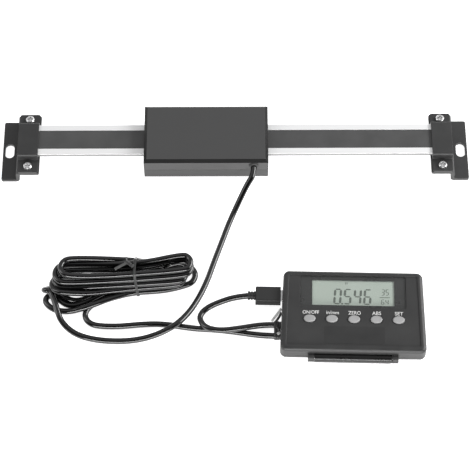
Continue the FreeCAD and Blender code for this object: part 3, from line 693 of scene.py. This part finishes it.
def add_plate(made, outline, z_low, z_high, opening=None):
    """A thin plate on the display, with an opening that has as many corners as its outline."""
    def ring(points, z):
        return [made.verts.new(on_display(a, b, z)) for a, b in points]

    low, high = ring(outline, z_low), ring(outline, z_high)
    count = len(outline)
    walls = [(low, high)]
    if opening:
        inner_low, inner_high = ring(opening, z_low), ring(opening, z_high)
        walls += [(inner_high, inner_low), (high, inner_high), (inner_low, low)]
    else:
        made.faces.new(list(reversed(low)))
        made.faces.new(high)
    for first, second in walls:
        for k in range(count):
            after = (k + 1) % count
            made.faces.new((first[k], first[after], second[after], second[k]))


def make_border(material):
    """The dark print round the window, under the clear lens."""
    made = bmesh.new()
    outline = rounded_outline(*BORDER_SIZE, *BORDER_PLACE, BORDER_CORNER)
    opening = rounded_outline(*WINDOW_SIZE, *WINDOW_PLACE, WINDOW_CORNER)
    add_plate(made, outline, BORDER_LOW, BORDER_HIGH, opening)
    place_mesh("window_border", finish_mesh(made, "window_border", 0), material, ROOT)


def make_bare_plate(material):
    """A plain smooth field under the buttons."""
    made = bmesh.new()
    add_plate(made, rounded_outline(*FIELD_SIZE, *FIELD_PLACE, FIELD_CORNER), FIELD_LOW, FIELD_HIGH)
    place_mesh("bare_plate", finish_mesh(made, "bare_plate", 0), material, ROOT)


# Digits: lit strokes of a seven-stroke figure, lettered a to g from the top round to the middle

STROKES = {
    "a": ((0, 1), (1, 1)),
    "b": ((1, 1), (1, 0.5)),
    "c": ((1, 0.5), (1, 0)),
    "d": ((0, 0), (1, 0)),
    "e": ((0, 0.5), (0, 0)),
    "f": ((0, 1), (0, 0.5)),
    "g": ((0, 0.5), (1, 0.5)),
}
LEVEL_STROKES = "adg"
LIT = {"0": "abcdef", "3": "abcdg", "4": "bcfg", "5": "acdfg", "6": "acdefg"}
DIGIT_SLANT = 0.08
FLAT_WEIGHT = 0.6
STROKE_GAP = 0.18
FINE_WEIGHT = 0.45

# Each row of figures with its left end, foot, pitch, width, height and weight
FIGURE_ROWS = [
    ("0546", -10.75, 4.9, 5.63, 3.3, 9.2, 1.30),
    ("35", 16.05, 10.8, 2.4, 1.4, 3.7, 0.5),
    ("64", 15.85, 4.9, 2.4, 1.4, 3.0, 0.5),
]
POINT_SIZE, POINT_PLACE, POINT_CORNER = (1.0, 1.0), (-6.25, 4.9), 0.2
FRACTION_BAR = ((14.85, 9.3), (20.85, 9.3))
INCH_MARK = ((-3.85, 17.2), (-3.65, 18.8))
INCH_MARKS_ASIDE = (-0.5, 0.4)


def add_stroke(made, start, end, weight):
    """One pointed bar of a figure."""
    way = (end - start).normalized()
    side = Vector((-way.y, way.x)) * weight / 2
    tip = way * weight / 2
    gap = way * weight * STROKE_GAP
    a, b = start + gap, end - gap
    outline = [a, a + tip - side, b - tip - side, b, b - tip + side, a + tip + side]
    add_plate(made, outline, GLASS_Z, GLASS_Z + PRINT)


def add_figure(made, figure, x, y, width, height, weight):
    """One figure; its level strokes are thinner than its upright ones."""
    for stroke in LIT[figure]:
        ends = []
        for a, b in STROKES[stroke]:
            ends.append(Vector((x + a * width + b * height * DIGIT_SLANT, y + b * height)))
        add_stroke(made, *ends, weight * (FLAT_WEIGHT if stroke in LEVEL_STROKES else 1.0))


def make_digits(material):
    """The reading: four large figures with a point, and a small fraction beside them."""
    made = bmesh.new()
    for figures, x, y, pitch, width, height, weight in FIGURE_ROWS:
        for i, figure in enumerate(figures):
            add_figure(made, figure, x + i * pitch, y, width, height, weight)
    add_plate(made, rounded_outline(*POINT_SIZE, *POINT_PLACE, POINT_CORNER), GLASS_Z, GLASS_Z + PRINT)
    add_stroke(made, Vector(FRACTION_BAR[0]), Vector(FRACTION_BAR[1]), FINE_WEIGHT)
    for aside in INCH_MARKS_ASIDE:
        start, end = (Vector((aside + x, y)) for x, y in INCH_MARK)
        add_stroke(made, start, end, FINE_WEIGHT)
    place_mesh("lcd_digits", finish_mesh(made, "lcd_digits", 0), material, ROOT)


# Ties: millimetres from the middle of the beam

TIE_WIDTH = 1.5
TIE_THICKNESS = 0.6
TIE_STRAND = 0.55
TIE_OFF_TABLE = TIE_THICKNESS / 2 + 0.02
BAND_STEPS = 96
TWIST_STEPS, TWIST_SIDES, TWIST_TURNS = 40, 10, 1.5
TAIL_STEPS = 6
HANK_BAND_X, HANK_BAND_LEAN = TIE_X + 1.4, 0.11
HANK_REACH = (-112, -70)
LOOP_BANDS = (22.4, 23.8, 25.2)
LOOP_REACH = (-128, -112)


def crossings(line, x, y_low, y_high):
    """Where the cord's line crosses one X, as (y, z) in millimetres."""
    found = []
    for a, b in zip(line, line[1:]):
        ax, bx = a.x / MM - MID_X - x, b.x / MM - MID_X - x
        if ax * bx > 0 or ax == bx:
            continue
        spot = a.lerp(b, ax / (ax - bx)) / MM
        if y_low < spot.y < y_high:
            found.append((spot.y, spot.z))
    return found


def tight_loop(spots, grow):
    """The taut line round equal discs, from the farthest reach in every direction."""
    loop = []
    outs = []
    reach = CORD_DIAMETER / 2 + grow
    for k in range(BAND_STEPS):
        turn = 2 * math.pi * k / BAND_STEPS
        out = Vector((math.cos(turn), math.sin(turn)))
        far = max(spots, key=lambda spot: out.dot(Vector(spot)))
        place = Vector(far) + out * reach
        loop.append((place.x, max(place.y, TIE_OFF_TABLE)))
        outs.append(Vector((0, out.x, out.y)))
    return loop, outs


def add_band(made, line, x, reach, lean=0.0):
    """A strip drawn tight round the cord's runs; lean is how far it slants along X for its height."""
    loop, outs = tight_loop(crossings(line, x, *reach), TIE_THICKNESS / 2)
    path = [from_beam(x - lean * z, y, z) for y, z in loop]
    sweep(made, path, flat_section(TIE_WIDTH * MM, TIE_THICKNESS * MM), outs, True)


def add_twist(made, start, end):
    """Two strands wound round each other."""
    start, end = Vector(start), Vector(end)
    axis = end - start
    first = axis.orthogonal().normalized()
    second = axis.normalized().cross(first)
    for strand in range(2):
        path = []
        for k in range(TWIST_STEPS + 1):
            turn = 2 * math.pi * TWIST_TURNS * k / TWIST_STEPS + math.pi * strand
            wind = first * math.cos(turn) + second * math.sin(turn)
            path.append(from_beam(*(start + axis * k / TWIST_STEPS + wind * TIE_STRAND)))
        sweep(made, path, round_section(TIE_STRAND * MM, TWIST_SIDES))


def add_tail(made, points, out):
    """A loose flat end of the tie."""
    path = smooth_line([from_beam(*point) for point in points], TAIL_STEPS)
    section = flat_section(TIE_WIDTH * MM, TIE_THICKNESS * MM)
    sweep(made, path, section, [Vector(out).normalized()] * len(path))


def make_hank_tie(line, material, tail_material):
    """The tie round the hank: one leaning band, its twist, a short end and a loose end."""
    made = bmesh.new()
    add_band(made, line, HANK_BAND_X, HANK_REACH, HANK_BAND_LEAN)
    add_twist(made, (-58.2, -87.6, 17.3), (-61.8, -85.1, 18.0))
    add_tail(made, [(-61.6, -85.3, 18.0), (-62.0, -84.4, 18.6), (-61.9, -82.6, 19.4)], (1, 0, 1))
    tie = place_mesh("hank_wire_tie", finish_mesh(made, "hank_wire_tie"), material, ROOT)
    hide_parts("hank_tie")
    made = bmesh.new()
    add_tail(made, [(-61.2, -85.4, 18.1), (-64.0, -87.0, 18.2), (-68.5, -89.5, 17.7)], (0, -0.4, 1))
    tail = place_mesh("hank_tie_tail", finish_mesh(made, "hank_tie_tail"), tail_material, ROOT)
    return [tie, tail]


def make_loop_tie(line, material, tail_material):
    """The tie round the fold by the display: three bands, a twist and three loose ends."""
    made = bmesh.new()
    for x in LOOP_BANDS:
        add_band(made, line, x, LOOP_REACH)
    add_twist(made, (23.2, -119.4, 4.6), (25.0, -122.4, 4.6))
    add_tail(made, [(22.6, -116.6, 4.4), (24.2, -114.6, 4.8), (26.0, -111.6, 6.2)], (-0.3, -0.5, 1))
    tie = place_mesh("loop_wire_tie", finish_mesh(made, "loop_wire_tie"), material, ROOT)
    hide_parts("loop_tie")
    made = bmesh.new()
    add_tail(made, [(20.3, -116.2, 4.4), (22.6, -113.4, 5.0), (25.9, -109.4, 6.6)], (-0.3, -0.5, 1))
    add_tail(made, [(23.4, -124.4, 4.4), (24.2, -123.8, 4.8), (25.2, -123.6, 4.4)], (0, -0.4, 1))
    tail = place_mesh("loop_tie_tail", finish_mesh(made, "loop_tie_tail"), tail_material, ROOT)
    return [tie, tail]


# Stage and light, in metres

FLOOR_REACH = 3.0
FLOOR_GLOW = 0.88
SKY_STOPS = [(0.26, (0.05, 0.05, 0.05)), (0.58, (1.0, 1.0, 1.01))]
SKY_STRENGTH = 0.6
LIGHT_TARGET = (0.134, -0.06, 0.0)

# Each light with its place, width, height and power in watts
LIGHTS = [
    ("softbox_left", (-0.95, -0.10, 0.75), 0.5, 0.9, 3.0),
    ("softbox_right", (1.20, 0.10, 0.62), 1.2, 0.45, 17.0),
    ("softbox_front", (0.134, -1.50, 0.36), 1.8, 0.30, 26.0),
]


def pale_floor():
    """Matt white that glows a little, so it stays as even as a lit sweep."""
    material, tree, shader = new_material("pale_floor")
    clouds = noise(tree, 3, 2.0)
    tree.links.new(tint(tree, clouds, grey(0.90), grey(0.92)), shader.inputs["Base Color"])
    shader.inputs["Roughness"].default_value = 0.9
    shader.inputs["Specular IOR Level"].default_value = 0.0
    shader.inputs["Emission Color"].default_value = (1, 1, 1, 1)
    shader.inputs["Emission Strength"].default_value = FLOOR_GLOW
    return material


def make_stage():
    mesh = bpy.data.meshes.new("floor")
    made = bmesh.new()
    corners = [(-1, -1), (1, -1), (1, 1), (-1, 1)]
    made.faces.new([made.verts.new((x * FLOOR_REACH, y * FLOOR_REACH, 0)) for x, y in corners])
    made.to_mesh(mesh)
    made.free()
    mesh.materials.append(pale_floor())
    floor = bpy.data.objects.new("floor", mesh)
    bpy.context.scene.collection.objects.link(floor)


def make_world():
    """Even studio white, darker low down in front of the object."""
    world = bpy.data.worlds.new("studio")
    bpy.context.scene.world = world
    world.use_nodes = True
    tree = world.node_tree
    place = add(tree, "ShaderNodeTexCoord")
    parts = add(tree, "ShaderNodeSeparateXYZ")
    fit = add(tree, "ShaderNodeMapRange", {"From Min": -1.0, "From Max": 1.0})
    sky = tree.nodes["Background"]
    tree.links.new(place.outputs["Generated"], parts.inputs["Vector"])
    tree.links.new(parts.outputs["Y"], fit.inputs["Value"])
    tree.links.new(ramp(tree, fit.outputs["Result"], SKY_STOPS), sky.inputs["Color"])
    sky.inputs["Strength"].default_value = SKY_STRENGTH


def make_lights():
    for name, place, width, height, power in LIGHTS:
        data = bpy.data.lights.new(name, "AREA")
        data.shape = "RECTANGLE"
        data.size = width
        data.size_y = height
        data.energy = power
        light = bpy.data.objects.new(name, data)
        bpy.context.scene.collection.objects.link(light)
        light.location = place
        light.rotation_euler = (Vector(LIGHT_TARGET) - Vector(place)).to_track_quat("-Z", "Y").to_euler()


def make_display_trim():
    make_border(moulded("window_print", 0.036, rough=0.30, edge=0.0001, texture=2500, depth=0.000004))
    make_bare_plate(moulded("smooth_field", 0.022, rough=0.40, edge=0.0001, texture=3500, depth=0.000008))
    make_legends(coloured("legend_paint", (0.74, 0.74, 0.73), (0.80, 0.80, 0.79), rough=0.45, edge=0.00005))
    ink_dark, ink_light = (0.120, 0.140, 0.120), (0.140, 0.160, 0.140)
    make_digits(coloured("segment_ink", ink_dark, ink_light, rough=0.40, edge=0.00005))


def make_ties(line, material):
    dark, dark_worn = grey(0.055), (0.080, 0.080, 0.078)
    pale, pale_worn = (0.48, 0.48, 0.475), (0.60, 0.60, 0.59)
    dark_tail = coloured("tie_plastic", dark, dark_worn, rough=0.40, edge=0.0001, scale=900)
    pale_tail = coloured("tie_paper", pale, pale_worn, rough=0.40, edge=0.0001, scale=900)
    return make_hank_tie(line, material, dark_tail) + make_loop_tie(line, material, pale_tail)


make_camera()
materials = {**scale_materials(), **display_materials(), **cord_materials()}
dress_frame(materials)
cord, cord_line = make_cord(materials["cord"])
make_display_trim()
ties = make_ties(cord_line, materials["tie"])
make_stage()
make_world()
make_lights()
bpy.context.scene.view_settings.view_transform = "Standard"
